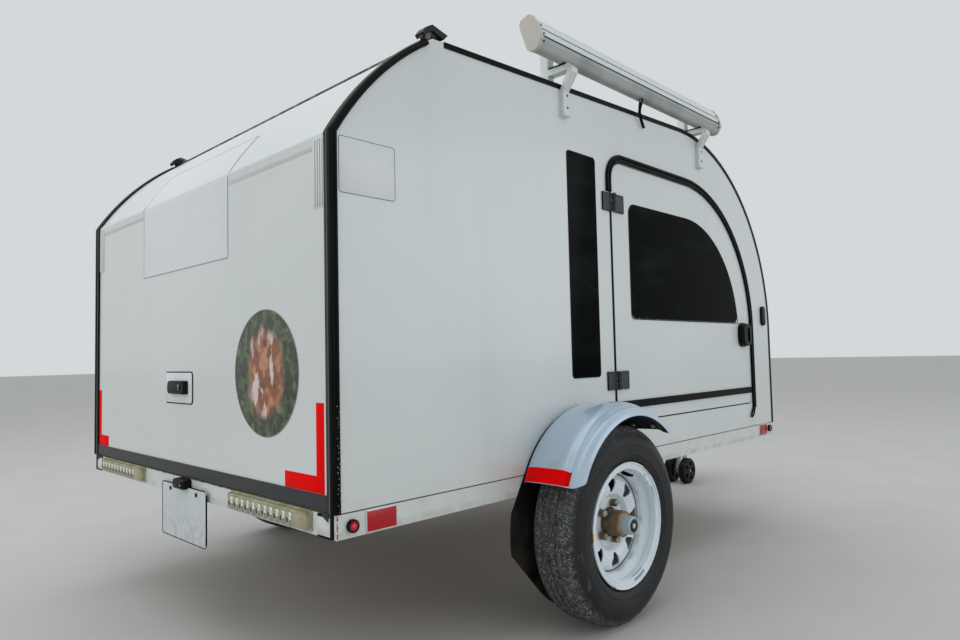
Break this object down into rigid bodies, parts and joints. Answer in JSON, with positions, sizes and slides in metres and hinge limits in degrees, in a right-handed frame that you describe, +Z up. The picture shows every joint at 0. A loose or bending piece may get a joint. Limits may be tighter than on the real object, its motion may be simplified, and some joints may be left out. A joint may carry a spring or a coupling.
{
  "type": "teardrop camping trailer",
  "caption": "Small teardrop camping trailer with a curved body, side doors, a rear galley hatch, a side awning case and a parking jack on the tongue.",
  "frame": {"origin": "on the ground, under the middle of the overall length and width", "axes": "+X forward to the coupler, +Y to the left side, +Z up"},
  "size_m": [3.505, 2.02, 1.8224],
  "materials": {
    "white_panel": "gloss white sheet over a sandwich core",
    "black_trim": "satin black edging",
    "dark_frame": "dark grey coated aluminium",
    "glass": "dark tinted",
    "board": "plain plywood",
    "hinge_metal": "dark grey cast metal",
    "handle_plastic": "black textured plastic",
    "lamp_lens": "clear lens gone yellow",
    "red_lens": "red lens",
    "amber_lens": "amber lens",
    "plate": "blank plate",
    "tyre": "dusty rubber",
    "wheel_paint": "silver paint, rust at the edges",
    "hub_metal": "rusty cast metal, galvanised cap",
    "fender_paint": "silver grey paint",
    "liner_plastic": "black sheet",
    "frame_steel": "dark painted steel tube",
    "zinc_steel": "galvanised steel",
    "jack_wheel_plastic": "black moulded wheels",
    "awning_shell": "grey coated extrusion",
    "awning_end": "beige grey end cap"
  },
  "bodies": {
    "trailer": {"floor_panel": "board", "floor_skirt": "white_panel", "side_wall_right": "white_panel", "side_wall_left": "white_panel", "strip_windows": "glass", "roof_panel": "white_panel", "roof_trims": "black_trim", "rear_trims": "black_trim", "bulkhead": "board", "galley_counter": "board", "ridge_cap_roof": "black_trim", "hinge_leaves_wall": "hinge_metal", "door_seals": "black_trim", "tail_lamps": "lamp_lens", "licence_plate": "plate", "plate_lamp": "handle_plastic", "markers_red": "red_lens", "markers_amber": "amber_lens", "porch_lamps": "handle_plastic", "axle_beam": "frame_steel", "torsion_arms": "frame_steel", "wheel_liners": "liner_plastic", "fender_right": "fender_paint", "fender_left": "fender_paint", "chassis_rails": "frame_steel", "cross_members": "frame_steel", "tongue_arms": "frame_steel", "coupler": "zinc_steel", "jack_tube": "zinc_steel", "awning_case": "awning_shell", "awning_caps": "awning_end", "awning_brackets": "white_panel"},
    "hatch": {"hatch_panel": "white_panel", "hatch_rail": "dark_frame", "hatch_latch": "handle_plastic", "ridge_cap_hatch": "black_trim"},
    "door_right_leaf": {"door_right": "white_panel", "door_glass_right": "glass", "door_rail_right": "black_trim", "door_handle_right": "handle_plastic", "hinge_leaves_right": "hinge_metal"},
    "door_left_leaf": {"door_left": "white_panel", "door_glass_left": "glass", "door_rail_left": "black_trim", "door_handle_left": "handle_plastic", "hinge_leaves_left": "hinge_metal"},
    "wheel_right": {"wheel_tyre_right": "tyre", "wheel_rim_right": "wheel_paint", "wheel_hub_right": "hub_metal"},
    "wheel_left": {"wheel_tyre_left": "tyre", "wheel_rim_left": "wheel_paint", "wheel_hub_left": "hub_metal"},
    "jack_inner": {"jack_leg": "zinc_steel"},
    "jack_caster": {"jack_yoke": "zinc_steel"},
    "jack_roller": {"jack_wheels": "jack_wheel_plastic"}
  },
  "joints": [
    {"name": "hatch_lift", "type": "hinge", "parent": "trailer", "child": "hatch", "pos_m": [-1.4065, 0, 1.62648], "axis": [0, 1, 0], "range_deg": [0, 75]},
    {"name": "door_right_swing", "type": "hinge", "parent": "trailer", "child": "door_right_leaf", "pos_m": [-0.5965, -0.817, 1], "axis": [0, 0, -1], "range_deg": [0, 90]},
    {"name": "door_left_swing", "type": "hinge", "parent": "trailer", "child": "door_left_leaf", "pos_m": [-0.5965, 0.817, 1], "axis": [0, 0, 1], "range_deg": [0, 90]},
    {"name": "wheel_right_spin", "type": "hinge", "parent": "trailer", "child": "wheel_right", "pos_m": [-0.8135, -0.9, 0.29], "axis": [0, 1, 0], "continuous": true},
    {"name": "wheel_left_spin", "type": "hinge", "parent": "trailer", "child": "wheel_left", "pos_m": [-0.8135, 0.9, 0.29], "axis": [0, 1, 0], "continuous": true},
    {"name": "jack_raise", "type": "slide", "parent": "trailer", "child": "jack_inner", "axis": [0, 0, 1], "range_m": [-0.15, 0.11]},
    {"name": "jack_swivel", "type": "hinge", "parent": "jack_inner", "child": "jack_caster", "pos_m": [1.3335, 0, 0.176], "axis": [0, 0, 1], "continuous": true},
    {"name": "jack_wheel_spin", "type": "hinge", "parent": "jack_caster", "child": "jack_roller", "pos_m": [1.2935, 0, 0.075], "axis": [0, 1, 0], "continuous": true}
  ]
}
